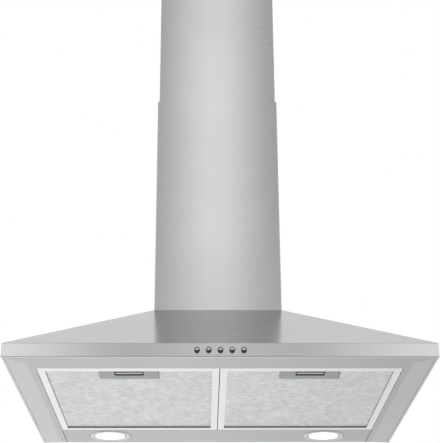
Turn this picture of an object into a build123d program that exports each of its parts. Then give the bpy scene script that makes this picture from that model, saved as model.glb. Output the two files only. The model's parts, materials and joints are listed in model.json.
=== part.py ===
from build123d import *

import os
from math import cos, hypot, radians, sin, sqrt

# A wall-mounted chimney range hood. X runs to the right, Y towards the wall and Z up.
# The origin is the centre of the underside, level with the bottom of the lip.
# All sizes are in millimetres.

# ---------------------------------------------------------------- canopy and sheet metal
body_width = 600.0
body_depth = 500.0
lip_height = 20.0
canopy_height = 155.5  # underside to the top of the slopes
sheet = 0.8  # visible steel sheet
bend = 1.2  # outside radius of a folded edge
lip_return = 5.0  # narrow strip folded in under the lip
neck_height = 12.0  # upstand that locates the chimney
seam = 0.2  # gap between sheets that are screwed together

# ---------------------------------------------------------------- chimney covers
chimney_width = 204.0
chimney_depth = 250.0
lower_length = 379.5
upper_length = 380.0
upper_showing = 212.0  # how much of the upper cover stands out at rest
upper_side_gap = 1.7  # between the two covers at the sides and front
slide_gap = 0.4  # between the two covers at their rear flanges
cover_flange = 15.0  # folded flange down each rear edge
chimney_screw_spacing = 110.0
vent_slots = 6
vent_pitch = 11.0
vent_height = 4.0
vent_length = 110.0
vent_from_top = 45.0

# ---------------------------------------------------------------- underside panels
front_margin = 56.3  # lip face to the filter opening
side_margin = 41.1
rear_margin = 87.6  # wall to the filter opening
edge_flange = 12.0  # upstand round the filter opening
panel_gap = 0.4  # lamp panel to the side strips

# ---------------------------------------------------------------- grease filters
filter_gap = 0.5  # filter to the opening, front and rear
filter_side_gap = 0.6
filters_apart = 1.0
filter_thickness = 9.0
filter_side_band = 10.5
filter_front_band = 14.0
filter_rear_band = 12.0
filter_skin = 0.8  # wall of the aluminium channel
mesh_thickness = 0.5
mesh_grip = 7.0  # how far the mesh layers reach into the channel
pocket_margin = 3.0  # lap of the latch plate under the mesh
pleat_pitch = 15.0
pleat_clearance = 0.1
tongue_width = 22.0
tongue_length = 6.0
tongue_thickness = 1.2
tongue_spacing = 150.0
tongue_gap = 0.2  # tongue to the lamp panel under it
tongue_slot_height = 6.6
tongue_slot_play = 1.0

# ---------------------------------------------------------------- filter latch
latch_width = 87.0
latch_depth = 38.4
latch_chamfer = 3.0
latch_slot_width = 42.0
latch_slot_depth = 20.0
latch_slot_offset = 1.8  # latch plate's front edge to its slot
latch_pad_width = 34.0
latch_pad_depth = 12.0
slot_facets = 10  # flats round each end of the slot and its pad
latch_gap = 0.3
slider_thickness = 1.2
slider_width = 54.0
slider_margin = 2.5  # slider past the slot, front and rear
bolt_width = 16.0
bolt_play = 0.6
guide_wall = 1.0
guide_lip = 3.0
spring_strip = 0.5
spring_depth = 6.5  # room for the leaf spring behind the slider
spring_span = 40.0
spring_flat = 12.0

# ---------------------------------------------------------------- lamps
lamp_from_side = 118.5
lamp_from_wall = 45.0
lamp_bezel_radius = 36.0
lamp_hole_radius = 33.0
lamp_view_radius = 25.0  # lens that shows
lamp_wall = 1.2
lamp_sides = 32  # the lamps repeat, so their round edges have few faces
lamp_lens_thickness = 2.0
lamp_can = 5.0  # depth inside, over the lens
lamp_board_thickness = 1.6
lamp_fin = 2.6  # thickness and spacing of the heat sink's fins
lamp_fins = 7
lamp_fin_length = 42.0
lamp_fin_height = 9.0
lamp_fit = 0.3
clip_width = 9.0
clip_thickness = 0.6
clip_reach = 7.0
clip_hook = 3.0

# ---------------------------------------------------------------- push buttons
button_count = 5
button_pitch = 16.1
button_radius = 3.7
button_height = 10.0  # centre line above the underside
button_proud = 5.0
button_travel = 2.5
button_cap = 7.5
button_stem_width = 4.0
button_stem = 7.0
button_gap = 0.3
button_edge = 0.8  # bevel round the face
button_sides = 20  # caps and their holes repeat, so they have few faces
button_overrun = 0.5  # pockets run past the stroke
switch_depth = 19.0
switch_margin = 12.0

# ---------------------------------------------------------------- blower
blower_front_room = 26.0  # chimney's front to the scroll
blower_rear_room = 22.0  # scroll to the wall
fan_height = 160.0  # fan axis above the underside
scroll_growth = 10.0  # added to the scroll's radius at each quarter turn
scroll_facets = 10  # flats in each quarter turn
scroll_half_width = 58.0
scroll_wall = 2.0
scroll_top = 265.0
cutoff_radius = 6.0  # rounding of the tongue between scroll and outlet
outlet_flange = 152.0
outlet_flange_thickness = 3.0
flange_from_wall = 4.0
inlet_lap = 10.0  # inlet inside the wheel's rim
inlet_sides = 32
lug_width = 20.0
lug_thickness = 4.0
lug_centre = 40.0
rail_depth = 14.5
rail_sheet = 1.2
rail_drop = 5.5  # rails below the top of the canopy
rail_lip = 10.0
lug_root = 20.0  # how far the feet start inside the scroll
screw_inset = 7.0  # collar screws from the flange's corners
rail_from_cover = 1.5

# ---------------------------------------------------------------- impeller and motor
wheel_room = 12.0  # wheel to the scroll where it is tightest
wheel_rim = 16.0  # breadth of the wheel's rings
wheel_half_width = 52.0
wheel_disc = 3.0
wheel_ring = 2.0
wheel_sides = 32  # the wheel's rims are many-sided, to keep its mesh light
blade_count = 20
blade_inset = 2.0  # blades inside the rings' inner edge
blade_margin = 1.0  # and inside their outer edge
blade_lead = 8.0  # degrees from the inner to the outer end
blade_bow = 2.4
blade_thickness = 1.2
hub_radius = 12.0
hub_length = 20.0
shaft_radius = 4.0
shaft_fit = 0.05
motor_cover_width = 46.0
motor_stack = 62.0  # width of the laminated stack
motor_stack_corner = 12.0
motor_cover = 9.0
motor_clearance = 5.0
motor_length = 52.0
motor_cap = 6.0
motor_wall = 4.0
shaft_end_gap = 1.0
bracket_sheet = 1.5
motor_hub = 22.0  # bracket's disc
bracket_arm = 14.0
bracket_arms = 3
hub_sides = 12
foot_from_inlet = 4.0
foot_depth = 5.0
guard_bar = 2.5
guard_pitch = 16.0
guard_bars = 7

# ---------------------------------------------------------------- duct collar and dampers
collar_radius = 75.0
collar_wall = 2.2
collar_height = 45.0
collar_plate = 3.0
bore_sides = 40  # the bore and its flaps are many-sided, to keep their meshes light
rod_radius = 1.5
rod_height = 14.0  # damper rod above the collar plate
rod_fit = 0.06
knuckle_wall = 0.8
knuckle_length = 56.0  # one long knuckle a flap, each on its own half of the rod
knuckle_middle = 32.0
flap_thickness = 1.2
flap_gap = 0.8
flap_offset = 3.4  # flap's straight edge to the rod
damper_stop = 3.0

# ---------------------------------------------------------------- electrical parts
terminal_size = (58.0, 28.0, 36.0)
terminal_from_side = 110.0
terminal_z = 30.0
terminal_wall = 1.5
terminal_block_size = (30.0, 10.0, 14.0)
terminal_ways = 5
terminal_groove = 1.0
driver_size = (62.0, 26.0, 20.0)
driver_from_side = 105.0
driver_z = 30.0
driver_bevel = 1.5
driver_ear = 9.0
gland_radius = 8.0
gland_neck = 6.0
gland_gap = 0.2  # neck to its holes
gland_bore = 4.2
gland_length = 12.0
gland_drop = 12.0  # gland's axis under the top of the box
capacitor_size = (46.0, 22.0, 32.0)
capacitor_x = -84.0
capacitor_z = 50.0

# ---------------------------------------------------------------- wall fixings
bolt_spacing = 200.0
bolt_height = 34.0
bolt_hole = 3.5
keyhole_spacing = 280.0
keyhole_height = 70.0
keyhole_head = 5.5
keyhole_slot = 3.0
keyhole_rise = 11.0
keyhole_sides = 16
bracket_strip = 30.0
bracket_thickness = 1.2
bracket_from_top = 27.0
bracket_side = 20.0
bracket_holes = 120.0
bracket_hole = 3.0
bracket_pad = 9.0

# ---------------------------------------------------------------- screws
screw_radius = 2.0
screw_head = 3.8
screw_head_height = 1.4
screw_gap = 0.45  # screws to their six-sided holes
panel_screw_spacing = 50.0

# ---------------------------------------------------------------- places that follow from them
half_width = body_width / 2
front = -body_depth / 2
wall = body_depth / 2
cover_front = wall - chimney_depth
cover_y = wall - chimney_depth / 2
lower_top = canopy_height + lower_length
upper_top = lower_top + upper_showing
upper_bottom = upper_top - upper_length
upper_width = chimney_width - 2 * (sheet + upper_side_gap)
upper_front = cover_front + sheet + upper_side_gap
upper_rear = wall - sheet - slide_gap
plate_top = 2 * sheet
opening_half = half_width - side_margin
opening_front = front + front_margin
opening_rear = wall - rear_margin
panel_back = wall - sheet
filter_front = opening_front + filter_gap
filter_rear = opening_rear - filter_gap
filter_width = opening_half - filter_side_gap - filters_apart / 2
filter_bottom = sheet
filter_centre = (filters_apart + filter_width) / 2
scroll_start = (chimney_depth - blower_front_room - blower_rear_room - 3 * scroll_growth) / 2
wheel_radius = scroll_start - wheel_room
wheel_inner = wheel_radius - wheel_rim
inlet_radius = wheel_radius - inlet_lap
fan_y = wall - blower_rear_room - 3 * scroll_growth - scroll_start
outlet_front = fan_y
outlet_rear = fan_y + scroll_start + 3 * scroll_growth
outlet_y = wall - flange_from_wall - outlet_flange / 2
collar_base = scroll_top
tube_base = collar_base + collar_plate
rod_z = tube_base + rod_height
lamp_y = wall - lamp_from_wall
lamp_x = half_width - lamp_from_side
terminal_x = terminal_from_side - half_width
terminal_top = terminal_z + terminal_size[2]
gland_z = terminal_top - gland_drop
driver_x = half_width - driver_from_side
button_places = [button_pitch * (i - (button_count - 1) / 2) for i in range(button_count)]
hands = ((-1, "left"), (1, "right"))


# ---------------------------------------------------------------- helpers
def save(piece, name):
    """Label a finished piece and write it to its own file."""
    piece.part.label = name
    export_step(piece.part, f"parts/{name}.step")


def block(x, y, z, mode=Mode.ADD):
    """A rectangular block between two limits along each axis."""
    with Locations(((x[0] + x[1]) / 2, (y[0] + y[1]) / 2, (z[0] + z[1]) / 2)):
        Box(x[1] - x[0], y[1] - y[0], z[1] - z[0], mode=mode)


def round_bar(origin, along, radius, length, mode=Mode.ADD):
    """A cylinder, or a bore with mode=Mode.SUBTRACT, from origin along a direction."""
    with BuildSketch(Plane(origin=origin, z_dir=along)) as section:
        Circle(radius)
    extrude(section.sketch, amount=length, mode=mode)


def long_slot(width, depth, mode=Mode.ADD):
    """A round-ended slot, made of short flats because it repeats."""
    reach = (width - depth) / 2
    points = []
    for end in (1, -1):
        for i in range(slot_facets + 1):
            angle = radians(180 * i / slot_facets - 90 * end)
            points.append((end * reach + depth / 2 * cos(angle), depth / 2 * sin(angle)))
    Polygon(*points, mode=mode)


def screw_hole(origin, along, length):
    """A six-sided hole: screws and their holes repeat, so they have few faces."""
    with BuildSketch(Plane(origin=origin, z_dir=along)) as section:
        RegularPolygon(screw_radius + screw_gap, 6)
    extrude(section.sketch, amount=length, mode=Mode.SUBTRACT)


def screw(origin, along, length):
    """A hexagon-head screw: origin is under its head, and along is the way it points."""
    with BuildSketch(Plane(origin=origin, z_dir=along)) as head:
        RegularPolygon(screw_head, 6)
    extrude(head.sketch, amount=-screw_head_height)
    with BuildSketch(Plane(origin=origin, z_dir=along)) as shank:
        RegularPolygon(screw_radius, 6)
    extrude(shank.sketch, amount=length)


def fan_plane(x):
    """A plane square to the fan axis, with its origin on the axis."""
    return Plane(origin=(x, fan_y, fan_height), x_dir=(0, 1, 0), z_dir=(1, 0, 0))


os.makedirs("parts", exist_ok=True)


# ---------------------------------------------------------------- canopy shell
neck_half = chimney_width / 2 - sheet - seam
neck_front = cover_front + sheet + seam
neck_rear = wall - sheet - seam
chimney_screw_z = canopy_height + neck_height / 2
chimney_screws = [cover_y + side * chimney_screw_spacing / 2 for side in (-1, 1)]

front_view = [
    (-half_width, 0),
    (half_width, 0),
    (half_width, lip_height),
    (chimney_width / 2, canopy_height),
    (-chimney_width / 2, canopy_height),
    (-half_width, lip_height),
]
side_view = [
    (front, 0),
    (wall, 0),
    (wall, canopy_height),
    (cover_front, canopy_height),
    (front, lip_height),
]

with BuildPart() as canopy_shell:
    # the form is where its front and side outlines meet
    with BuildSketch(Plane.XZ.offset(-wall)):
        with BuildLine():
            Polyline(*front_view, close=True)
        make_face()
    extrude(amount=body_depth)
    with BuildSketch(Plane.YZ.offset(-half_width)):
        with BuildLine():
            Polyline(*side_view, close=True)
        make_face()
    extrude(amount=body_width, mode=Mode.INTERSECT)
    open_faces = [canopy_shell.faces().sort_by(Axis.Z)[0]]
    open_faces += [canopy_shell.faces().sort_by(Axis.Z)[-1]]
    open_faces += canopy_shell.faces().filter_by(lambda f: f.center().Y > wall - 0.01)
    offset(amount=-sheet, openings=open_faces)
    # narrow strip folded in under the lip
    with BuildSketch():
        Rectangle(body_width, body_depth)
        with Locations((0, lip_return / 2)):
            Rectangle(body_width - 2 * lip_return, body_depth - lip_return, mode=Mode.SUBTRACT)
    extrude(amount=sheet)
    folds = canopy_shell.edges().group_by(Axis.Z)[0]
    folds = [e for e in folds if e.length > body_depth - 1 and e.center().Y < wall - 1]
    outside = [e for e in folds if abs(e.center().X) > half_width - 1 or e.center().Y < front + 1]
    shoulder = canopy_shell.edges().filter_by_position(
        Axis.Z, lip_height - 0.01, lip_height + 0.01
    )
    shoulder = [
        e
        for e in shoulder
        if abs(e.center().X) > half_width - 0.01 or e.center().Y < front + 0.01
    ]
    fillet(outside + shoulder, bend)
    # ledge and upstand that the chimney stands on and slips over
    with BuildSketch(Plane.XY.offset(canopy_height - sheet)):
        with Locations((0, cover_y)):
            Rectangle(chimney_width, chimney_depth)
        with Locations((0, (neck_front + sheet + wall) / 2)):
            Rectangle(2 * (neck_half - sheet), wall - neck_front - sheet, mode=Mode.SUBTRACT)
    extrude(amount=sheet)
    with BuildSketch(Plane.XY.offset(canopy_height - sheet)):
        with Locations((0, (neck_front + neck_rear) / 2)):
            Rectangle(2 * neck_half, neck_rear - neck_front)
        with Locations((0, (neck_front + sheet + wall) / 2)):
            Rectangle(2 * (neck_half - sheet), wall - neck_front - sheet, mode=Mode.SUBTRACT)
    extrude(amount=sheet + neck_height)
    # holes for the chimney screws and the buttons
    for y in chimney_screws:
        for side in (-1, 1):
            screw_hole(
                (side * (neck_half - 2 * sheet), y, chimney_screw_z),
                (side, 0, 0),
                4 * sheet,
            )
    with BuildSketch(Plane.XZ.offset(sheet - front)) as button_holes:
        with Locations(*[(x, button_height) for x in button_places]):
            RegularPolygon(button_radius + button_gap, button_sides)
    extrude(button_holes.sketch, amount=-3 * sheet, mode=Mode.SUBTRACT)
save(canopy_shell, "canopy_shell")


# ---------------------------------------------------------------- rear panel with its wall fixings
with BuildPart() as rear_panel:
    with BuildSketch(Plane.XZ.offset(-wall)):
        with BuildLine():
            Polyline(*front_view, close=True)
        make_face()
        offset(amount=-sheet - seam, kind=Kind.INTERSECTION)
        for side in (-1, 1):
            with Locations((side * bolt_spacing / 2, bolt_height)):
                Circle(bolt_hole, mode=Mode.SUBTRACT)
            with Locations((side * keyhole_spacing / 2, keyhole_height)):
                RegularPolygon(keyhole_head, keyhole_sides, mode=Mode.SUBTRACT)
            with Locations((side * keyhole_spacing / 2, keyhole_height + keyhole_rise)):
                RegularPolygon(keyhole_slot, keyhole_sides, mode=Mode.SUBTRACT)
            with Locations((side * keyhole_spacing / 2, keyhole_height + keyhole_rise / 2)):
                Rectangle(2 * keyhole_slot, keyhole_rise, mode=Mode.SUBTRACT)
        with Locations((terminal_x, gland_z)):
            RegularPolygon(gland_neck + gland_gap, 6, mode=Mode.SUBTRACT)
    extrude(amount=sheet)
save(rear_panel, "rear_panel")


# ---------------------------------------------------------------- underside frame
flange_top = sheet + edge_flange
slider_bottom = filter_bottom + filter_skin + latch_gap
slider_top = slider_bottom + slider_thickness
panel_screw_z = sheet + edge_flange / 2
panel_screws = [lamp_y + side * panel_screw_spacing / 2 for side in (-1, 1)]

with BuildPart() as underside_frame:
    with BuildSketch(Plane.XY.offset(sheet)):
        Rectangle(body_width - 2 * (sheet + seam), body_depth - 2 * (sheet + seam))
        with Locations((0, (opening_front + wall) / 2)):
            Rectangle(2 * opening_half, wall - opening_front, mode=Mode.SUBTRACT)
    extrude(amount=sheet)
    block(
        (-opening_half - sheet, opening_half + sheet),
        (opening_front - sheet, opening_front),
        (sheet, flange_top),
    )
    for side, _ in hands:
        block(
            sorted((side * opening_half, side * (opening_half + sheet))),
            (opening_front - sheet, panel_back - seam),
            (sheet, flange_top),
        )
        # window that the latch bolt faces
        block(
            (
                side * filter_centre - bolt_width / 2 - bolt_play,
                side * filter_centre + bolt_width / 2 + bolt_play,
            ),
            (opening_front - 2 * sheet, opening_front + sheet),
            (slider_bottom - bolt_play, slider_top + bolt_play),
            mode=Mode.SUBTRACT,
        )
        for y in panel_screws:
            screw_hole(
                (side * (opening_half - sheet), y, panel_screw_z),
                (side, 0, 0),
                3 * sheet,
            )
save(underside_frame, "underside_frame")


# ---------------------------------------------------------------- lamp panel
panel_half = opening_half - panel_gap
tongue_places = [
    side * filter_centre + end * tongue_spacing / 2 for side in (-1, 1) for end in (-1, 1)
]

with BuildPart() as lamp_panel:
    with BuildSketch(Plane.XY.offset(sheet)):
        with Locations((0, (opening_rear + panel_back) / 2)):
            Rectangle(2 * panel_half, panel_back - opening_rear)
        for side in (-1, 1):
            with Locations((side * lamp_x, lamp_y)):
                RegularPolygon(lamp_hole_radius, lamp_sides, mode=Mode.SUBTRACT)
    extrude(amount=sheet)
    block((-panel_half, panel_half), (opening_rear, opening_rear + sheet), (sheet, flange_top))
    block((-panel_half, panel_half), (panel_back - sheet, panel_back), (sheet, flange_top))
    for side in (-1, 1):
        block(
            sorted((side * (panel_half - sheet), side * panel_half)),
            (opening_rear, panel_back),
            (sheet, flange_top),
        )
        for y in panel_screws:
            screw_hole(
                (side * (panel_half - 2 * sheet), y, panel_screw_z),
                (side, 0, 0),
                3 * sheet,
            )
    for x in tongue_places:
        block(
            (x - tongue_width / 2 - tongue_slot_play, x + tongue_width / 2 + tongue_slot_play),
            (opening_rear - sheet, opening_rear + 2 * sheet),
            (plate_top, plate_top + tongue_slot_height),
            mode=Mode.SUBTRACT,
        )
save(lamp_panel, "lamp_panel")


# ---------------------------------------------------------------- chimney covers
def cover(width, near, far, bottom, length):
    """A folded cover, open at the wall, with a return flange down each rear edge."""
    with BuildSketch(Plane.XY.offset(bottom)) as section:
        with Locations((0, (near + far) / 2)):
            Rectangle(width, far - near)
        fillet(section.vertices(), bend)
        with Locations((0, (near + far) / 2)):
            Rectangle(width - 2 * sheet, far - near - 2 * sheet, mode=Mode.SUBTRACT)
        with Locations((0, far)):
            Rectangle(width - 2 * cover_flange, 4 * sheet, mode=Mode.SUBTRACT)
    extrude(section.sketch, amount=length)


with BuildPart() as lower_chimney:
    cover(chimney_width, cover_front, wall, canopy_height, lower_length)
    for y in chimney_screws:
        for side in (-1, 1):
            screw_hole(
                (side * (chimney_width / 2 - 2 * sheet), y, chimney_screw_z),
                (side, 0, 0),
                3 * sheet,
            )
save(lower_chimney, "lower_chimney")

with BuildPart() as panel_screw_set:
    for side in (-1, 1):
        for y in panel_screws:
            screw(
                (side * (panel_half - sheet), y, panel_screw_z),
                (side, 0, 0),
                3 * sheet + panel_gap,
            )
        for y in chimney_screws:
            screw(
                (side * chimney_width / 2, y, chimney_screw_z),
                (-side, 0, 0),
                3 * sheet + seam,
            )
save(panel_screw_set, "panel_screws")

strip_rear = upper_rear - sheet
strip_front = strip_rear - bracket_thickness
strip_half = upper_width / 2 - sheet - seam
strip_z = upper_top - bracket_from_top
bracket_screw_y = strip_front - bracket_side / 2

with BuildPart() as upper_chimney:
    cover(upper_width, upper_front, upper_rear, upper_bottom, upper_length)
    for i in range(vent_slots):
        slot_z = upper_top - vent_from_top - i * vent_pitch
        block(
            (-upper_width, upper_width),
            (cover_y - vent_length / 2, cover_y + vent_length / 2),
            (slot_z - vent_height, slot_z),
            mode=Mode.SUBTRACT,
        )
    for side in (-1, 1):
        screw_hole(
            (side * (upper_width / 2 - 2 * sheet), bracket_screw_y, strip_z),
            (side, 0, 0),
            3 * sheet,
        )
save(upper_chimney, "upper_chimney")

with BuildPart() as chimney_bracket:
    block(
        (-strip_half, strip_half),
        (strip_front, strip_rear),
        (strip_z - bracket_strip / 2, strip_z + bracket_strip / 2),
    )
    for side in (-1, 1):
        block(
            sorted((side * (strip_half - bracket_thickness), side * strip_half)),
            (strip_front - bracket_side, strip_rear),
            (strip_z - bracket_strip / 2, strip_z + bracket_strip / 2),
        )
        pad = (side * bracket_holes / 2, strip_front, strip_z)
        block(
            (pad[0] - bracket_pad, pad[0] + bracket_pad),
            (strip_front, wall),
            (strip_z - bracket_pad, strip_z + bracket_pad),
        )
        round_bar(pad, (0, 1, 0), bracket_hole, wall - strip_front, mode=Mode.SUBTRACT)
        screw_hole(
            (side * (strip_half - 2 * bracket_thickness), bracket_screw_y, strip_z),
            (side, 0, 0),
            3 * bracket_thickness,
        )
save(chimney_bracket, "chimney_bracket")

with BuildPart() as bracket_screw_set:
    for side in (-1, 1):
        screw(
            (side * upper_width / 2, bracket_screw_y, strip_z),
            (-side, 0, 0),
            2 * sheet + seam + bracket_thickness,
        )
save(bracket_screw_set, "bracket_screws")


# ---------------------------------------------------------------- grease filters and latches
latch_front = filter_front + filter_front_band
latch_rear = latch_front + latch_depth
slot_front = latch_front + latch_slot_offset
slot_y = slot_front + latch_slot_depth / 2
slider_front = slot_front - slider_margin
slider_rear = slot_front + latch_slot_depth + slider_margin
stop_front = slider_rear + spring_depth
filter_top = filter_bottom + filter_thickness
screen_bottom = filter_bottom + filter_skin
screen_top = filter_top - filter_skin

# the mesh layers reach the same way into the channel on every side
mesh_width = filter_width - 2 * (filter_side_band - mesh_grip)
mesh_front = filter_front + filter_front_band - mesh_grip
mesh_rear = filter_rear - filter_rear_band + mesh_grip


def mesh_pocket(x):
    """Room in the lower mesh layers for the latch."""
    block(
        (x - latch_width / 2 + pocket_margin, x + latch_width / 2 - pocket_margin),
        (mesh_front - 1, latch_rear - pocket_margin),
        (screen_bottom - 1, screen_top - mesh_thickness),
        mode=Mode.SUBTRACT,
    )


for hand, name in hands:
    x = hand * filter_centre
    half = filter_width / 2

    with BuildPart() as filter_frame:
        block((x - half, x + half), (filter_front, filter_rear), (filter_bottom, filter_top))
        fillet(filter_frame.faces().sort_by(Axis.Z)[0].edges(), filter_skin / 2)
        block(
            (x - half + filter_side_band, x + half - filter_side_band),
            (filter_front + filter_front_band, filter_rear - filter_rear_band),
            (filter_bottom - 1, filter_top + 1),
            mode=Mode.SUBTRACT,
        )
        block(
            (x - half + filter_skin, x + half - filter_skin),
            (filter_front + filter_skin, filter_rear - filter_skin),
            (screen_bottom, screen_top),
            mode=Mode.SUBTRACT,
        )
        for end in (-1, 1):
            middle = x + end * tongue_spacing / 2
            block(
                (middle - tongue_width / 2, middle + tongue_width / 2),
                (filter_rear - filter_skin, filter_rear + tongue_length),
                (plate_top + tongue_gap, plate_top + tongue_gap + tongue_thickness),
            )
        block(
            (x - bolt_width / 2 - bolt_play, x + bolt_width / 2 + bolt_play),
            (filter_front - 1, filter_front + 2 * filter_skin),
            (slider_bottom - latch_gap / 2, slider_top + bolt_play),
            mode=Mode.SUBTRACT,
        )
    save(filter_frame, f"filter_frame_{name}")

    with BuildPart() as filter_screen:
        block(
            (x - mesh_width / 2, x + mesh_width / 2),
            (mesh_front, mesh_rear),
            (screen_bottom, screen_bottom + mesh_thickness),
        )
        mesh_pocket(x)
    save(filter_screen, f"filter_screen_{name}")

    with BuildPart() as filter_backing:
        block(
            (x - mesh_width / 2, x + mesh_width / 2),
            (mesh_front, mesh_rear),
            (screen_top - mesh_thickness, screen_top),
        )
    save(filter_backing, f"filter_backing_{name}")

    # pleated core: one zigzag sheet between the two flat layers
    core_bottom = screen_bottom + mesh_thickness + pleat_clearance
    core_top = screen_top - mesh_thickness - pleat_clearance
    pleats = int(mesh_width // pleat_pitch)
    lift = mesh_thickness * hypot(pleat_pitch / 2, core_top - core_bottom) / (pleat_pitch / 2)
    lower = [
        (pleat_pitch / 2 * (i - pleats), core_bottom if i % 2 == 0 else core_top - lift)
        for i in range(2 * pleats + 1)
    ]
    upper = [(across, up + lift) for across, up in reversed(lower)]
    with BuildPart() as filter_core:
        with BuildSketch(Plane.XZ.offset(-mesh_rear)):
            with BuildLine():
                Polyline(*[(x + across, up) for across, up in lower + upper], close=True)
            make_face()
        extrude(amount=mesh_rear - mesh_front)
        mesh_pocket(x)
    save(filter_core, f"filter_core_{name}")

    with BuildPart() as latch_plate:
        with BuildSketch(Plane.XY.offset(filter_bottom)) as outline:
            with Locations((x, (latch_front + latch_rear) / 2)):
                Rectangle(latch_width, latch_depth)
            chamfer(outline.vertices().group_by(Axis.Y)[-1], latch_chamfer)
            with Locations((x, slot_y)):
                long_slot(latch_slot_width, latch_slot_depth, mode=Mode.SUBTRACT)
        extrude(amount=filter_skin)
        for side in (-1, 1):
            inside = slider_width / 2 + latch_gap
            lug_y = (latch_front + latch_gap, slider_rear)
            block(
                sorted((x + side * inside, x + side * (inside + guide_wall))),
                lug_y,
                (screen_bottom, slider_top + latch_gap + guide_wall),
            )
            block(
                sorted((x + side * (inside - guide_lip), x + side * (inside + guide_wall))),
                lug_y,
                (slider_top + latch_gap, slider_top + latch_gap + guide_wall),
            )
        block(
            (x - spring_span / 2 - guide_wall, x + spring_span / 2 + guide_wall),
            (stop_front, stop_front + guide_wall),
            (screen_bottom, slider_top + latch_gap),
        )
    save(latch_plate, f"latch_plate_{name}")

    with BuildPart() as latch_slider:
        block(
            (x - slider_width / 2, x + slider_width / 2),
            (slider_front, slider_rear),
            (slider_bottom, slider_top),
        )
        block(
            (x - bolt_width / 2, x + bolt_width / 2),
            (filter_front, slider_front),
            (slider_bottom, slider_top),
        )
        with BuildSketch(Plane.XY.offset(filter_bottom)):
            with Locations((x, slot_y)):
                long_slot(latch_pad_width, latch_pad_depth)
        extrude(amount=slider_bottom - filter_bottom)
    save(latch_slider, f"latch_slider_{name}")

    # bent leaf spring between the slider and its stop
    bow_front = slider_rear + latch_gap
    bow_rear = stop_front - latch_gap / 2
    with BuildPart() as latch_spring:
        with BuildSketch(Plane.XY.offset(slider_bottom)):
            leaf = [
                (x - spring_span / 2, bow_rear - spring_strip),
                (x - spring_flat / 2, bow_front),
                (x + spring_flat / 2, bow_front),
                (x + spring_span / 2, bow_rear - spring_strip),
            ]
            with BuildLine():
                Polyline(*leaf, *[(u, v + spring_strip) for u, v in leaf[::-1]], close=True)
            make_face()
        extrude(amount=slider_thickness)
    save(latch_spring, f"latch_spring_{name}")


# ---------------------------------------------------------------- lamps
lens_radius = lamp_hole_radius - lamp_fit
can_bottom = sheet + lamp_lens_thickness
board_top = can_bottom + lamp_can
sink_base = board_top + lamp_fin
clip_top = sink_base + seam

for hand, name in hands:
    x = hand * lamp_x

    with BuildPart() as lamp_bezel:
        with BuildSketch():
            with Locations((x, lamp_y)):
                RegularPolygon(lamp_bezel_radius, lamp_sides)
                RegularPolygon(lamp_view_radius, lamp_sides, mode=Mode.SUBTRACT)
        extrude(amount=sheet)
    save(lamp_bezel, f"lamp_bezel_{name}")

    with BuildPart() as lamp_lens:
        with BuildSketch(Plane.XY.offset(sheet)):
            with Locations((x, lamp_y)):
                RegularPolygon(lens_radius, lamp_sides)
        extrude(amount=lamp_lens_thickness)
    save(lamp_lens, f"lamp_lens_{name}")

    with BuildPart() as lamp_board:
        with BuildSketch(Plane.XY.offset(board_top - lamp_board_thickness)):
            with Locations((x, lamp_y)):
                RegularPolygon(lens_radius - lamp_wall - lamp_fit, 8)
        extrude(amount=lamp_board_thickness)
    save(lamp_board, f"lamp_board_{name}")

    # eight-sided can with straight fins
    fin_places = [(x + 2 * lamp_fin * (i - (lamp_fins - 1) / 2), lamp_y) for i in range(lamp_fins)]
    with BuildPart() as lamp_heat_sink:
        with BuildSketch(Plane.XY.offset(can_bottom)):
            with Locations((x, lamp_y)):
                RegularPolygon(lens_radius, 8)
        extrude(amount=sink_base - can_bottom)
        with BuildSketch(Plane.XY.offset(can_bottom)):
            with Locations((x, lamp_y)):
                RegularPolygon(lens_radius - lamp_wall, 8)
        extrude(amount=lamp_can, mode=Mode.SUBTRACT)
        with BuildSketch(Plane.XY.offset(sink_base)):
            with Locations(*fin_places):
                Rectangle(lamp_fin, lamp_fin_length)
        extrude(amount=lamp_fin_height)
    save(lamp_heat_sink, f"lamp_heat_sink_{name}")

with BuildPart() as lamp_clips:
    for hand, _ in hands:
        for side in (-1, 1):
            near = lamp_hole_radius + seam
            with BuildSketch(Plane.XZ.offset(-lamp_y - clip_width / 2)) as section:
                with BuildLine():
                    Polyline(
                        *[
                            (hand * lamp_x + side * out, height)
                            for out, height in (
                                (near, plate_top),
                                (near + clip_reach, plate_top),
                                (near + clip_reach, plate_top + clip_thickness),
                                (near + clip_thickness, plate_top + clip_thickness),
                                (near + clip_thickness, clip_top + clip_thickness),
                                (near - clip_hook, clip_top + clip_thickness),
                                (near - clip_hook, clip_top),
                                (near, clip_top),
                            )
                        ],
                        close=True,
                    )
                make_face()
            extrude(section.sketch, amount=clip_width)
save(lamp_clips, "lamp_clips")


# ---------------------------------------------------------------- push buttons and their switch block
switch_front = front + sheet
button_back = front - button_proud + button_cap
stem_back = button_back + button_stem

with BuildPart() as switch_block:
    block(
        (button_places[0] - switch_margin, button_places[-1] + switch_margin),
        (switch_front, switch_front + switch_depth),
        (plate_top + seam, lip_height - 2 * sheet - seam),
    )
    chamfer(switch_block.edges().filter_by(Axis.Z).group_by(Axis.Y)[-1], sheet)
    for x in button_places:
        for half, rear in (
            (button_radius + button_gap, button_back),
            (button_stem_width / 2 + button_gap, stem_back),
        ):
            block(
                (x - half, x + half),
                (switch_front - 1, rear + button_travel + button_overrun),
                (button_height - half, button_height + half),
                mode=Mode.SUBTRACT,
            )
save(switch_block, "switch_block")

for number, x in enumerate(button_places, 1):
    with BuildPart() as button:
        with BuildSketch(Plane.XZ.offset(button_proud - front)) as face:
            with Locations((x, button_height)):
                RegularPolygon(button_radius, button_sides)
        extrude(face.sketch, amount=-button_cap)
        chamfer(button.faces().sort_by(Axis.Y)[0].edges(), button_edge)
        block(
            (x - button_stem_width / 2, x + button_stem_width / 2),
            (button_back, stem_back),
            (button_height - button_stem_width / 2, button_height + button_stem_width / 2),
        )
    save(button, f"button_{number}")


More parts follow.
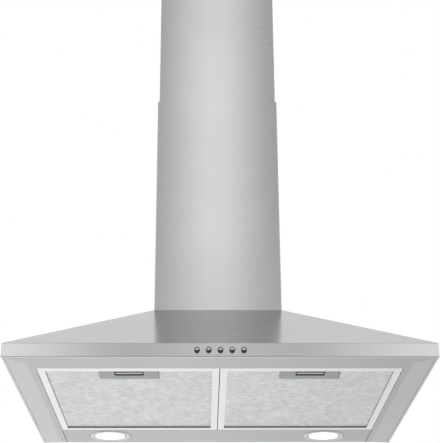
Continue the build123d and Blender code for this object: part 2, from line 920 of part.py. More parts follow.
# ---------------------------------------------------------------- blower scroll and its rails
rail_z = canopy_height - rail_drop
rail_half = neck_half - sheet
rail_tab_top = canopy_height + neck_height - 2 * sheet
front_rail = (neck_front + sheet + rail_from_cover, neck_front + sheet + rail_from_cover + rail_depth)
rear_rail = (panel_back - rail_from_cover - rail_depth, panel_back - rail_from_cover)
lug_bottom = rail_z + rail_sheet
lug_top = lug_bottom + lug_thickness
lug_screws = [
    (side * lug_centre, (rail[0] + rail[1]) / 2) for side in (-1, 1) for rail in (front_rail, rear_rail)
]
collar_screws = [
    (x * (outlet_flange / 2 - screw_inset), outlet_y + y * (outlet_flange / 2 - screw_inset))
    for x in (-1, 1)
    for y in (-1, 1)
]


def scroll_face(grow):
    """The scroll's outline about the fan axis, made larger by the given amount."""
    top = scroll_top - fan_height + grow
    first = scroll_start + grow
    points = [(-grow, sqrt(first**2 - grow**2))]
    for i, centre in enumerate(((0, 0), (scroll_growth, 0), (scroll_growth, scroll_growth))):
        radius = first + i * scroll_growth
        for step in range(1, scroll_facets + 1):
            angle = radians(90 * (i + 1 + step / scroll_facets))
            points.append((centre[0] + radius * cos(angle), centre[1] + radius * sin(angle)))
    points += [(points[-1][0], top), (-grow, top)]
    with BuildSketch() as face:
        with BuildLine():
            Polyline(*points, close=True)
        make_face()
        cutoff = face.vertices().sort_by_distance(points[0])[0]
        fillet(cutoff, cutoff_radius - grow)
    return face.sketch


scroll_inside = scroll_face(0)
scroll_outside = scroll_face(scroll_wall)
with BuildSketch() as inlet_hole:
    RegularPolygon(inlet_radius, inlet_sides)


def scroll_section(x, outline, cut, top):
    """A sketch square to the fan axis: an outline, less a cut, kept below a height."""
    with BuildSketch(fan_plane(x)) as section:
        add(outline)
        add(cut, mode=Mode.SUBTRACT)
        with Locations((0, top - fan_height + scroll_top / 2)):
            Rectangle(2 * scroll_top, scroll_top, mode=Mode.SUBTRACT)
    return section.sketch


def foot_point(x, angle):
    """A screw place of the motor bracket, at an angle round the fan axis."""
    across = foot_radius * cos(radians(angle))
    up = foot_radius * sin(radians(angle))
    return (x, fan_y + across, fan_height + up)


flange_bottom = scroll_top - outlet_flange_thickness
foot_radius = inlet_radius + foot_from_inlet + foot_depth / 2
foot_angles = [90 + i * 360 / bracket_arms for i in range(bracket_arms)]

for hand, name in hands:
    with BuildPart() as blower_housing:
        wall_width = hand * (scroll_half_width + scroll_wall)
        extrude(scroll_section(0, scroll_outside, scroll_inside, scroll_top), amount=wall_width)
        extrude(
            scroll_section(
                hand * scroll_half_width, scroll_outside, inlet_hole.sketch, scroll_top
            ),
            amount=hand * scroll_wall,
        )
        block(
            sorted((0, hand * outlet_flange / 2)),
            (outlet_y - outlet_flange / 2, outlet_y + outlet_flange / 2),
            (flange_bottom, scroll_top),
        )
        block(
            sorted((0, hand * scroll_half_width)),
            (outlet_front, outlet_rear),
            (flange_bottom - 1, scroll_top + 1),
            mode=Mode.SUBTRACT,
        )
        # feet that sit on the rails, cut clear of the cavity
        foot_x = (hand * lug_centre - lug_width / 2, hand * lug_centre + lug_width / 2)
        scroll_front = fan_y - scroll_start
        block(foot_x, (front_rail[0] + seam, scroll_front + lug_root), (lug_bottom, lug_top))
        block(foot_x, (outlet_rear - lug_root, rear_rail[1] - seam), (lug_bottom, lug_top))
        with BuildSketch(fan_plane(0)) as cavity:
            add(scroll_inside)
        extrude(cavity.sketch, amount=hand * scroll_half_width, mode=Mode.SUBTRACT)
        for x, y in lug_screws:
            if x * hand > 0:
                screw_hole(
                    (x, y, lug_bottom - 1),
                    (0, 0, 1),
                    lug_thickness + 2,
                )
        for x, y in collar_screws:
            if x * hand > 0:
                screw_hole(
                    (x, y, flange_bottom - 1),
                    (0, 0, 1),
                    outlet_flange_thickness + 2,
                )
        if hand < 0:
            # grille across the open inlet
            with BuildSketch(fan_plane(-scroll_half_width - scroll_wall)) as grille:
                with GridLocations(guard_pitch, 1, guard_bars, 1):
                    Rectangle(guard_bar, 2 * inlet_radius)
            extrude(grille.sketch, amount=scroll_wall)
        else:
            for angle in foot_angles:
                screw_hole(
                    foot_point(scroll_half_width - 1, angle),
                    (1, 0, 0),
                    scroll_wall + 2,
                )
    save(blower_housing, f"blower_housing_{name}")

for (near, far), edge, name in (
    (front_rail, front_rail[0], "front"),
    (rear_rail, rear_rail[1] - rail_sheet, "rear"),
):
    with BuildPart() as blower_rail:
        block((-rail_half, rail_half), (near, far), (rail_z, lug_bottom))
        block((-rail_half, rail_half), (edge, edge + rail_sheet), (rail_z - rail_lip, rail_z))
        for side in (-1, 1):
            block(
                sorted((side * (rail_half - rail_sheet), side * rail_half)),
                (near, far),
                (rail_z, rail_tab_top),
            )
            screw_hole(
                (side * lug_centre, (near + far) / 2, rail_z - 1),
                (0, 0, 1),
                rail_sheet + 2,
            )
    save(blower_rail, f"blower_rail_{name}")


# ---------------------------------------------------------------- impeller, shaft and motor
disc_half = wheel_disc / 2
ring_start = wheel_half_width - wheel_ring

# one forward-curved blade about the fan axis, bent from flat strips
blade_outer = wheel_radius - blade_margin
inner_end = Vector(wheel_inner + blade_inset, 0)
outer_end = Vector(
    blade_outer * cos(radians(blade_lead)), blade_outer * sin(radians(blade_lead))
)
chord = outer_end - inner_end
sideways = Vector(-chord.Y, chord.X).normalized()
bow = [(0, 0), (0.5, blade_bow), (1, 0)]
hollow = [inner_end + chord * along - sideways * out for along, out in bow]

with BuildSketch() as blade:
    with BuildLine():
        Polyline(*hollow, *[p + sideways * blade_thickness for p in hollow[::-1]], close=True)
    make_face()

# the wheel: a middle disc with the hub, a ring at each end and the blades between them
with BuildPart() as impeller_disc:
    with BuildSketch(fan_plane(-disc_half)):
        RegularPolygon(wheel_radius, wheel_sides)
    extrude(amount=wheel_disc)
    with BuildSketch(fan_plane(-disc_half)) as hub:
        RegularPolygon(hub_radius, 8)
    extrude(hub.sketch, amount=-hub_length)
    round_bar(
        (-disc_half - hub_length - 1, fan_y, fan_height),
        (1, 0, 0),
        shaft_radius,
        hub_length + wheel_disc + 2,
        mode=Mode.SUBTRACT,
    )
save(impeller_disc, "impeller_disc")

with BuildPart() as impeller_blades:
    for hand, _ in hands:
        with BuildSketch(fan_plane(hand * disc_half)) as blade_row:
            with PolarLocations(0, blade_count):
                add(blade.sketch)
        extrude(blade_row.sketch, amount=hand * (ring_start - disc_half))
save(impeller_blades, "impeller_blades")

with BuildPart() as impeller_rings:
    for hand, _ in hands:
        with BuildSketch(fan_plane(hand * ring_start)) as ring:
            RegularPolygon(wheel_radius, wheel_sides)
            RegularPolygon(wheel_inner, wheel_sides, mode=Mode.SUBTRACT)
        extrude(ring.sketch, amount=hand * wheel_ring)
save(impeller_rings, "impeller_rings")

motor_start = disc_half + motor_clearance
motor_end = motor_start + motor_length + motor_cap
with BuildPart() as motor_shaft:
    round_bar(
        (-disc_half - hub_length, fan_y, fan_height),
        (1, 0, 0),
        shaft_radius,
        motor_start + motor_length - motor_wall + disc_half + hub_length,
    )
save(motor_shaft, "motor_shaft")

with BuildPart() as motor:
    # laminated stack between two end covers
    with BuildSketch(fan_plane(motor_start + motor_cover)) as stack:
        Rectangle(motor_stack, motor_stack)
        chamfer(stack.vertices(), motor_stack_corner)
    extrude(amount=motor_length - 2 * motor_cover)
    with BuildSketch(fan_plane(motor_start)):
        Rectangle(motor_cover_width, motor_cover_width)
    extrude(amount=motor_cover)
    with BuildSketch(fan_plane(motor_end - motor_cap - motor_cover)):
        Rectangle(motor_cover_width, motor_cover_width)
    extrude(amount=motor_cover + motor_cap)
    round_bar(
        (motor_start - 1, fan_y, fan_height),
        (1, 0, 0),
        shaft_radius + shaft_fit,
        motor_length - motor_wall + shaft_end_gap + 1,
        mode=Mode.SUBTRACT,
    )
save(motor, "motor")

housing_side = scroll_half_width + scroll_wall
with BuildPart() as motor_bracket:
    with BuildSketch(fan_plane(motor_end)):
        RegularPolygon(motor_hub, hub_sides)
        with PolarLocations((foot_radius + foot_depth / 2) / 2, bracket_arms, start_angle=90):
            Rectangle(foot_radius + foot_depth / 2, bracket_arm)
    extrude(amount=bracket_sheet)
    with BuildSketch(fan_plane(housing_side)):
        with PolarLocations(foot_radius, bracket_arms, start_angle=90):
            Rectangle(foot_depth, bracket_arm)
    extrude(amount=motor_end - housing_side)
    for angle in foot_angles:
        screw_hole(
            foot_point(housing_side - 1, angle),
            (1, 0, 0),
            motor_end + bracket_sheet + 2 - housing_side,
        )
save(motor_bracket, "motor_bracket")


# ---------------------------------------------------------------- duct collar and damper flaps
bore_radius = collar_radius - collar_wall
knuckle_half = rod_radius + rod_fit + knuckle_wall
flap_radius = bore_radius - flap_gap
flap_bottom = rod_z - flap_thickness / 2

with BuildPart() as duct_collar:
    with BuildSketch(Plane.XY.offset(collar_base)):
        with Locations((0, outlet_y)):
            Rectangle(outlet_flange, outlet_flange)
    extrude(amount=collar_plate)
    with BuildSketch(Plane.XY.offset(tube_base)):
        with Locations((0, outlet_y)):
            Circle(collar_radius)
    extrude(amount=collar_height)
    with BuildSketch(Plane.XY.offset(collar_base)) as bore:
        with Locations((0, outlet_y)):
            RegularPolygon(bore_radius, bore_sides)
    extrude(bore.sketch, amount=collar_plate + collar_height, mode=Mode.SUBTRACT)
    for side in (-1, 1):
        block(
            sorted((side * (bore_radius - damper_stop), side * (bore_radius + collar_wall / 2))),
            (outlet_y - damper_stop, outlet_y + damper_stop),
            (flap_bottom - seam - damper_stop, flap_bottom - seam),
        )
    block(
        (-rod_radius, rod_radius),
        (outlet_y - collar_radius - 1, outlet_y + collar_radius + 1),
        (rod_z - rod_radius, rod_z + rod_radius),
        mode=Mode.SUBTRACT,
    )
    for x, y in collar_screws:
        screw_hole(
            (x, y, collar_base - 1),
            (0, 0, 1),
            collar_plate + 2,
        )
save(duct_collar, "duct_collar")

with BuildPart() as blower_screws:
    for x, y in lug_screws:
        screw((x, y, lug_top), (0, 0, -1), lug_thickness + rail_sheet + 1)
    for x, y in collar_screws:
        screw((x, y, tube_base), (0, 0, -1), collar_plate + outlet_flange_thickness + 1)
    for angle in foot_angles:
        screw(
            foot_point(motor_end + bracket_sheet, angle),
            (-1, 0, 0),
            motor_end + bracket_sheet - scroll_half_width,
        )
save(blower_screws, "blower_screws")

with BuildPart() as damper_rod:
    round_bar(
        (0, outlet_y - collar_radius + collar_wall / 4, rod_z),
        (0, 1, 0),
        rod_radius,
        2 * collar_radius - collar_wall / 2,
    )
save(damper_rod, "damper_rod")

for hand, name in hands:
    near = outlet_y + hand * knuckle_middle - knuckle_length / 2
    with BuildPart() as flap:
        with BuildSketch(Plane.XY.offset(flap_bottom)):
            with Locations((0, outlet_y)):
                RegularPolygon(flap_radius, bore_sides)
            with Locations((-hand * (flap_radius - flap_offset), outlet_y)):
                Rectangle(2 * flap_radius, 2 * flap_radius, mode=Mode.SUBTRACT)
        extrude(amount=flap_thickness)
        block(
            sorted((0, hand * 2 * flap_offset)),
            (near, near + knuckle_length),
            (flap_bottom, flap_bottom + flap_thickness),
        )
        block(
            (-knuckle_half, knuckle_half),
            (near, near + knuckle_length),
            (rod_z - knuckle_half, rod_z + knuckle_half),
        )
        round_bar(
            (0, near - 1, rod_z),
            (0, 1, 0),
            rod_radius + rod_fit,
            knuckle_length + 2,
            mode=Mode.SUBTRACT,
        )
    save(flap, f"damper_flap_{name}")


# ---------------------------------------------------------------- electrical parts on the rear panel
with BuildPart() as terminal_box:
    width, depth, height = terminal_size
    block(
        (terminal_x - width / 2, terminal_x + width / 2),
        (panel_back - depth, panel_back),
        (terminal_z, terminal_top),
    )
    block(
        (terminal_x - width / 2 + terminal_wall, terminal_x + width / 2 - terminal_wall),
        (panel_back - depth - 1, panel_back - terminal_wall),
        (terminal_z + terminal_wall, terminal_top - terminal_wall),
        mode=Mode.SUBTRACT,
    )
    with BuildSketch(Plane.XZ.offset(-panel_back)) as neck_hole:
        with Locations((terminal_x, gland_z)):
            RegularPolygon(gland_neck + gland_gap, 6)
    extrude(neck_hole.sketch, amount=2 * terminal_wall, mode=Mode.SUBTRACT)
save(terminal_box, "terminal_box")

with BuildPart() as terminal_cover:
    block(
        (terminal_x - width / 2, terminal_x + width / 2),
        (panel_back - depth - terminal_wall, panel_back - depth),
        (terminal_z, terminal_top),
    )
    chamfer(terminal_cover.edges().filter_by(Axis.Y), terminal_wall)
save(terminal_cover, "terminal_cover")

with BuildPart() as terminal_block:
    long, deep, high = terminal_block_size
    block_x = (terminal_x - long / 2, terminal_x + long / 2)
    block_rear = panel_back - terminal_wall
    block_base = terminal_z + terminal_wall
    block(block_x, (block_rear - deep, block_rear), (block_base, block_base + high))
    for i in range(1, terminal_ways):
        groove = block_x[0] + i * long / terminal_ways
        block(
            (groove - terminal_groove / 2, groove + terminal_groove / 2),
            (block_rear - deep - 1, block_rear - deep / 2),
            (block_base - 1, block_base + high + 1),
            mode=Mode.SUBTRACT,
        )
save(terminal_block, "terminal_block")

with BuildPart() as cable_gland:
    # its neck passes the box and the rear panel, for a cable from the wall
    with BuildSketch(Plane.XZ.offset(terminal_wall - panel_back)) as head:
        with Locations((terminal_x, gland_z)):
            RegularPolygon(gland_radius, 6)
    extrude(head.sketch, amount=gland_length - terminal_wall - sheet)
    with BuildSketch(Plane.XZ.offset(-wall)) as neck:
        with Locations((terminal_x, gland_z)):
            RegularPolygon(gland_neck, 6)
    extrude(neck.sketch, amount=terminal_wall + sheet)
    round_bar(
        (terminal_x, wall - gland_length - 1, gland_z),
        (0, 1, 0),
        gland_bore,
        gland_length + 2,
        mode=Mode.SUBTRACT,
    )
save(cable_gland, "cable_gland")

with BuildPart() as lamp_driver:
    width, depth, height = driver_size
    block(
        (driver_x - width / 2, driver_x + width / 2),
        (panel_back - depth, panel_back),
        (driver_z, driver_z + height),
    )
    chamfer(lamp_driver.faces().sort_by(Axis.Y)[0].edges(), driver_bevel)
    block(
        (driver_x - width / 2 - driver_ear, driver_x + width / 2 + driver_ear),
        (panel_back - driver_bevel, panel_back),
        (driver_z, driver_z + height),
    )
save(lamp_driver, "lamp_driver")

with BuildPart() as capacitor:
    width, depth, height = capacitor_size
    block(
        (capacitor_x - width / 2, capacitor_x + width / 2),
        (panel_back - depth, panel_back),
        (capacitor_z, capacitor_z + height),
    )
    chamfer(capacitor.faces().sort_by(Axis.Y)[0].edges(), driver_bevel)
    block(
        (capacitor_x - width / 2, capacitor_x + width / 2),
        (panel_back - driver_bevel, panel_back),
        (capacitor_z + height, capacitor_z + height + driver_ear),
    )
save(capacitor, "capacitor")
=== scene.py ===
import json
import math

import bmesh
import bpy
from mathutils import Matrix, Vector


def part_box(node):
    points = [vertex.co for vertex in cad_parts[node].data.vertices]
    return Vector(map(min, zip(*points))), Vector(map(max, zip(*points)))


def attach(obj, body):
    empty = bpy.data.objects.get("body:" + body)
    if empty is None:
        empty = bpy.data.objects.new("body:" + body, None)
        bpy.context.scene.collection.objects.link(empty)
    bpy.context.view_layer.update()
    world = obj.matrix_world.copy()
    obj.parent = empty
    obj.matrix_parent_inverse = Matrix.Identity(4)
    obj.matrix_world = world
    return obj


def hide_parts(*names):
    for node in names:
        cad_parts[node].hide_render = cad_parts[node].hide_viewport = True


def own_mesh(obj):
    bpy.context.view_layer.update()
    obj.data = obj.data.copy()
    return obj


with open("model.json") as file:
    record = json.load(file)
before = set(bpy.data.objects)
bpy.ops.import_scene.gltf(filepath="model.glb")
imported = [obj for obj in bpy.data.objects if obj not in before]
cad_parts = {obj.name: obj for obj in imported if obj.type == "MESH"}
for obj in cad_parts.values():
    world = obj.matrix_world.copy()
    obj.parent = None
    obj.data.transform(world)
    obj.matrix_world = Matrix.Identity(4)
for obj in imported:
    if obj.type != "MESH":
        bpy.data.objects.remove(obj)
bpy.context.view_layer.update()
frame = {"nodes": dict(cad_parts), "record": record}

MM = 0.001
SIDES = ("left", "right")
BUTTONS = 5


# ---------------------------------------------------------------- materials
class Nodes:
    """A material and short ways to add and join its nodes."""

    def __init__(self, name):
        self.material = bpy.data.materials.new(name)
        self.material.use_nodes = True
        self.tree = self.material.node_tree
        self.shader = self.tree.nodes["Principled BSDF"]

    def add(self, kind, **settings):
        node = self.tree.nodes.new("ShaderNode" + kind)
        for key, value in settings.items():
            setattr(node, key, value)
        return node

    def join(self, source, target):
        self.tree.links.new(source, target)

    def place(self, stretch=(1, 1, 1), turn=(0, 0, 0)):
        """Object coordinates, stretched and turned."""
        coords = self.add("TexCoord")
        mapping = self.add("Mapping")
        mapping.inputs["Scale"].default_value = stretch
        mapping.inputs["Rotation"].default_value = turn
        self.join(coords.outputs["Object"], mapping.inputs["Vector"])
        return mapping.outputs["Vector"]

    def noise(self, vector, scale, detail=3.0, roughness=0.5):
        noise = self.add("TexNoise")
        noise.inputs["Scale"].default_value = scale
        noise.inputs["Detail"].default_value = detail
        noise.inputs["Roughness"].default_value = roughness
        self.join(vector, noise.inputs["Vector"])
        return noise.outputs["Fac"]

    def span(self, value, low, high, from_low=0.3, from_high=0.7):
        """A number that runs from low to high while the value crosses its own range."""
        ramp = self.add("MapRange")
        ramp.inputs["From Min"].default_value = from_low
        ramp.inputs["From Max"].default_value = from_high
        ramp.inputs["To Min"].default_value = low
        ramp.inputs["To Max"].default_value = high
        self.join(value, ramp.inputs["Value"])
        return ramp.outputs["Result"]

    def colours(self, value, low, high, from_low=0.3, from_high=0.7):
        """A colour that runs from low to high while the value crosses its own range."""
        ramp = self.add("ValToRGB")
        ramp.color_ramp.elements[0].position = from_low
        ramp.color_ramp.elements[0].color = (*low, 1)
        ramp.color_ramp.elements[1].position = from_high
        ramp.color_ramp.elements[1].color = (*high, 1)
        self.join(value, ramp.inputs["Fac"])
        return ramp.outputs["Color"]

    def combine(self, operation, *values):
        """A Math node, fed with sockets or plain numbers."""
        node = self.add("Math", operation=operation)
        for value, socket in zip(values, node.inputs):
            if isinstance(value, bpy.types.NodeSocket):
                self.join(value, socket)
            else:
                socket.default_value = value
        return node.outputs[0]

    def bump(self, height, distance, strength):
        bump = self.add("Bump")
        bump.inputs["Strength"].default_value = strength
        bump.inputs["Distance"].default_value = distance
        self.join(height, bump.inputs["Height"])
        self.join(bump.outputs["Normal"], self.shader.inputs["Normal"])
        return bump

    def set(self, **values):
        for key, value in values.items():
            self.shader.inputs[key.replace("_", " ")].default_value = value


def shade(colour, factor):
    return tuple(min(1.0, c * factor) for c in colour)


def tones(colour, variation):
    """A darker and a lighter tone of a colour."""
    return shade(colour, 1 - variation), shade(colour, 1 + variation)


STEEL = (0.605, 0.60, 0.603)
UPWARD = (0, 0.02, 1)  # leans back a little, so that a level face has a direction too
GRAIN_STRETCH = (0.4, 20.0, 20.0)
HAIRLINE_STRETCH = (3.0, 400.0, 400.0)
BRUSHED_DEPTH = 0.00002
POLISHED_DEPTH = 0.00002
MOULDED_DEPTH = 0.0001
SPANGLE_DEPTH = 0.00005
STRAND_DEPTH = 0.0004
FROST_DEPTH = 0.00005
STREAK_ROUGHNESS = 0.03  # how far streaks, clouds and grain change the roughness, each way
CLOUD_ROUGHNESS = 0.015
GRAIN_ROUGHNESS = 0.06
STRAND_SCALE = 75.0
STRAND_LEAN = 0.62


def up_the_face(m):
    """The direction that leads up a wall or slope, and back along a level face."""
    normal = m.add("NewGeometry").outputs["True Normal"]
    split = m.add("SeparateXYZ")
    m.join(normal, split.inputs[0])
    leaning = m.add("VectorMath", operation="SCALE")
    m.join(normal, leaning.inputs[0])
    m.join(split.outputs["Z"], leaning.inputs["Scale"])
    upward = m.add("VectorMath", operation="SUBTRACT")
    upward.inputs[0].default_value = UPWARD
    m.join(leaning.outputs[0], upward.inputs[1])
    return upward.outputs[0]


def brushed(name, colour, roughness=0.3, anisotropic=0.85, variation=0.04, flat=True):
    """Steel with a fine grain that runs along X and draws reflections out across it."""
    m = Nodes(name)
    grain = m.noise(m.place(GRAIN_STRETCH), 30.0, detail=4.0, roughness=0.7)
    hairlines = m.noise(m.place(HAIRLINE_STRETCH), 12.0, detail=2.0, roughness=0.6)
    clouds = m.noise(m.place(), 5.0, detail=2.0)
    both = m.combine("MULTIPLY", m.combine("ADD", grain, hairlines), 0.5)
    streaks = m.colours(both, *tones(colour, variation), from_low=0.36, from_high=0.64)
    m.join(streaks, m.shader.inputs["Base Color"])
    uneven = m.span(both, -STREAK_ROUGHNESS, STREAK_ROUGHNESS)
    cloudy = m.span(clouds, roughness - CLOUD_ROUGHNESS, roughness + CLOUD_ROUGHNESS)
    m.join(m.combine("ADD", uneven, cloudy), m.shader.inputs["Roughness"])
    relief = m.bump(both, BRUSHED_DEPTH, strength=0.5)
    if flat:
        m.join(m.add("NewGeometry").outputs["True Normal"], relief.inputs["Normal"])
    m.join(up_the_face(m), m.shader.inputs["Tangent"])
    m.set(Metallic=1.0, Anisotropic=anisotropic)
    return m


def cast(name, colour, metallic, roughness, scale, variation=0.08, depth=MOULDED_DEPTH):
    """A moulded or coated surface with a fine grain and slight clouds of colour."""
    m = Nodes(name)
    place = m.place()
    grain = m.noise(place, scale, detail=4.0, roughness=0.6)
    clouds = m.noise(place, 9.0)
    m.join(m.colours(clouds, *tones(colour, variation)), m.shader.inputs["Base Color"])
    m.join(m.span(grain, roughness - GRAIN_ROUGHNESS, roughness + GRAIN_ROUGHNESS),
           m.shader.inputs["Roughness"])
    m.bump(grain, depth, strength=0.4)
    m.set(Metallic=metallic)
    return m


def spangled(name, colour):
    """Galvanised sheet, with the crystals of its zinc."""
    m = Nodes(name)
    place = m.place()
    crystals = m.add("TexVoronoi")
    crystals.inputs["Scale"].default_value = 90.0
    m.join(place, crystals.inputs["Vector"])
    grey = m.add("RGBToBW")
    m.join(crystals.outputs["Color"], grey.inputs[0])
    tone = m.colours(grey.outputs[0], shade(colour, 0.86), shade(colour, 1.1), from_low=0.1, from_high=0.9)
    m.join(tone, m.shader.inputs["Base Color"])
    m.join(m.span(grey.outputs[0], 0.3, 0.5, from_low=0.0, from_high=1.0), m.shader.inputs["Roughness"])
    m.bump(m.noise(place, 400.0), SPANGLE_DEPTH, strength=0.3)
    m.set(Metallic=1.0)
    return m


def expanded_mesh(name, colour):
    """The filter's fine expanded sheet: rows of small diamonds in layers that don't quite line up."""
    m = Nodes(name)
    layers = []
    for turn in (STRAND_LEAN, -STRAND_LEAN):
        wave = m.add("TexWave", wave_type="BANDS", bands_direction="X")
        wave.inputs["Scale"].default_value = STRAND_SCALE
        wave.inputs["Distortion"].default_value = 0.8
        wave.inputs["Detail Scale"].default_value = 0.6
        m.join(m.place(turn=(0, 0, turn)), wave.inputs["Vector"])
        layers.append(wave.outputs["Fac"])
    strands = m.combine("MAXIMUM", *layers)
    # where the layers drift in and out of step: wavy rows with blotches between them
    rows = m.noise(m.place((1.0, 2.2, 1), turn=(0, 0, 0.1)), STRAND_SCALE, roughness=0.55)
    columns = m.noise(m.place((1.6, 0.5, 1), turn=(0, 0, -0.08)), 70.0, roughness=0.55)
    blotches = m.noise(m.place(), 22.0, detail=2.0)
    pattern = m.combine("MULTIPLY_ADD", strands, 0.45, m.span(rows, 0.0, 0.4))
    pattern = m.combine("MULTIPLY_ADD", m.span(columns, 0.0, 1.0), 0.22, pattern)
    pattern = m.combine("MULTIPLY_ADD", m.span(blotches, 0.0, 1.0), 0.12, pattern)
    tone = m.colours(pattern, shade(colour, 0.80), shade(colour, 1.10), from_low=0.35, from_high=1.0)
    m.join(tone, m.shader.inputs["Base Color"])
    m.join(m.span(pattern, 0.5, 0.3, from_high=1.1), m.shader.inputs["Roughness"])
    m.bump(pattern, STRAND_DEPTH, strength=0.5)
    m.set(Metallic=0.85)
    return m


def glowing(name):
    """A frosted lens with light behind it."""
    m = Nodes(name)
    frost = m.noise(m.place(), 900.0, detail=2.0)
    m.join(m.colours(frost, (0.92, 0.91, 0.88), (1.0, 0.99, 0.97)), m.shader.inputs["Base Color"])
    m.join(m.colours(frost, (1.0, 0.985, 0.95), (1.0, 1.0, 0.99)), m.shader.inputs["Emission Color"])
    m.bump(frost, FROST_DEPTH, strength=0.3)
    m.set(Roughness=0.35, Emission_Strength=1.6)
    return m


finishes = {
    "stainless": brushed("brushed_stainless", STEEL, roughness=0.2, anisotropic=1.0, variation=0.06),
    "canopy": brushed("brushed_canopy", STEEL, roughness=0.25),
    # darker copy of the steel: painted shade on the level faces underneath
    "underside": brushed("brushed_underside_painted_shade", (0.548, 0.548, 0.557)),
    # brighter copy of the steel: painted highlight on the hem under the lip
    "hem": brushed("hem_painted_highlight", (0.96, 0.955, 0.95), anisotropic=0.5),
    # darker copy of the steel: painted shade along the fold at the lip's bottom edge
    "fold": brushed("fold_painted_shade", (0.34, 0.34, 0.345), roughness=0.35, anisotropic=0.5),
    "galvanised": spangled("galvanised_sheet", (0.52, 0.54, 0.55)),
    "filter_aluminium": brushed("filter_frame_aluminium", (0.985, 0.985, 0.985), roughness=0.42,
                                anisotropic=0.4, variation=0.02),
    "mesh": expanded_mesh("expanded_aluminium", (0.80, 0.82, 0.79)),
    "latch_steel": brushed("latch_plate_steel", (0.44, 0.455, 0.475), roughness=0.4),
    "latch_pad": cast("latch_grip_zinc", (0.55, 0.56, 0.57), metallic=0.9, roughness=0.45, scale=900.0),
    "spring_steel": brushed("spring_strip", (0.45, 0.45, 0.46), roughness=0.25),
    "lamp_trim": brushed("lamp_trim", (0.66, 0.66, 0.67), anisotropic=0.3, flat=False),
    "lamp_lens": glowing("lamp_glow"),
    "heat_sink": cast("heat_sink_aluminium", (0.55, 0.56, 0.57), metallic=1.0, roughness=0.45,
                      scale=500.0),
    "circuit_board": cast("circuit_board", (0.75, 0.77, 0.74), metallic=0.0, roughness=0.4, scale=700.0),
    "button_chrome": cast("button_cap", (0.50, 0.505, 0.51), metallic=1.0, roughness=0.22, scale=1500.0,
                          variation=0.03, depth=POLISHED_DEPTH),
    "black_plastic": cast("black_moulding", (0.022, 0.022, 0.024), metallic=0.0, roughness=0.42,
                          scale=700.0),
    "impeller_plastic": cast("impeller_moulding", (0.10, 0.10, 0.105), metallic=0.0, roughness=0.45,
                             scale=600.0),
    "motor_case": cast("motor_laminations", (0.20, 0.20, 0.21), metallic=0.9, roughness=0.45, scale=500.0),
    "shaft_steel": cast("ground_steel", (0.58, 0.58, 0.58), metallic=1.0, roughness=0.2, scale=900.0,
                        variation=0.03, depth=POLISHED_DEPTH),
    "fixings": cast("zinc_screws", (0.62, 0.62, 0.60), metallic=1.0, roughness=0.3, scale=900.0),
    "electrical_plastic": cast("electrical_moulding", (0.55, 0.55, 0.53), metallic=0.0, roughness=0.45,
                               scale=600.0),
    "shaded_metal": cast("shaded_metal", (0.12, 0.12, 0.125), metallic=0.6, roughness=0.6, scale=900.0),
    "shaded_hem": cast("shaded_hem", (0.26, 0.26, 0.26), metallic=0.6, roughness=0.6, scale=900.0),
    # near black: painted shade of the recess round the latch's grip
    "slot_painted_shade": cast("slider_painted_shade", (0.02, 0.02, 0.022), metallic=0.0, roughness=0.9, scale=900.0),
}
# nodes that look different from the rest of their slot; the underside and lamp panel take a darker copy of
# the steel, as painted shade
SPECIAL_FINISHES = {"underside_frame": "underside", "lamp_panel": "underside", "canopy_shell": "canopy"}

slot_of = {s["node"]: s["material_slot"] for s in frame["record"]["subparts"]}
for node, obj in frame["nodes"].items():
    finish = SPECIAL_FINISHES.get(node, slot_of[node])
    obj.data.materials.clear()
    obj.data.materials.append(finishes[finish].material)


# ---------------------------------------------------------------- making pieces
CORNER_STEPS = 6
MERGE = 1e-7  # points of a round form that meet on its axis become one


def middle(low, high, axis):
    return (low[axis] + high[axis]) / 2


def in_metres(profile):
    return [(radius * MM, height * MM) for radius, height in profile]


def rounded_rectangle(width, depth, corner, centre):
    """Points round a rectangle with round corners."""
    points = []
    for turn, (side, end) in enumerate(((1, 1), (-1, 1), (-1, -1), (1, -1))):
        for step in range(CORNER_STEPS + 1):
            angle = math.radians(90 * (turn + step / CORNER_STEPS))
            points.append((centre[0] + side * (width / 2 - corner) + corner * math.cos(angle),
                           centre[1] + end * (depth / 2 - corner) + corner * math.sin(angle)))
    return points


def rectangle(left, right, front, rear):
    return [(right, rear), (left, rear), (left, front), (right, front)]


def sheet_metal(loops, low, high):
    """A flat sheet between two heights: the first loop is its outline, and the rest are holes."""
    bm = bmesh.new()
    edges = []
    for loop in loops:
        corners = [bm.verts.new((x, y, low)) for x, y in loop]
        edges += [bm.edges.new(pair) for pair in zip(corners, corners[1:] + corners[:1])]
    bmesh.ops.triangle_fill(bm, use_beauty=True, edges=edges)
    grown = bmesh.ops.extrude_face_region(bm, geom=bm.faces[:], use_keep_orig=True)
    top = [part for part in grown["geom"] if isinstance(part, bmesh.types.BMVert)]
    bmesh.ops.translate(bm, vec=(0, 0, high - low), verts=top)
    return bm


def turned(profile, place, closed, segments):
    """A round form from points of radius and height, set in space by a function."""
    bm = bmesh.new()
    angles = [2 * math.pi * i / segments for i in range(segments)]
    rings = []
    for radius, height in profile:
        ring = [place(radius * math.cos(a), radius * math.sin(a), height) for a in angles]
        rings.append([bm.verts.new(point) for point in ring])
    pairs = list(zip(rings, rings[1:]))
    if closed:
        pairs.append((rings[-1], rings[0]))
    for near, far in pairs:
        for i in range(segments):
            j = (i + 1) % segments
            bm.faces.new((near[i], near[j], far[j], far[i]))
    bmesh.ops.remove_doubles(bm, verts=bm.verts[:], dist=MERGE)
    return bm


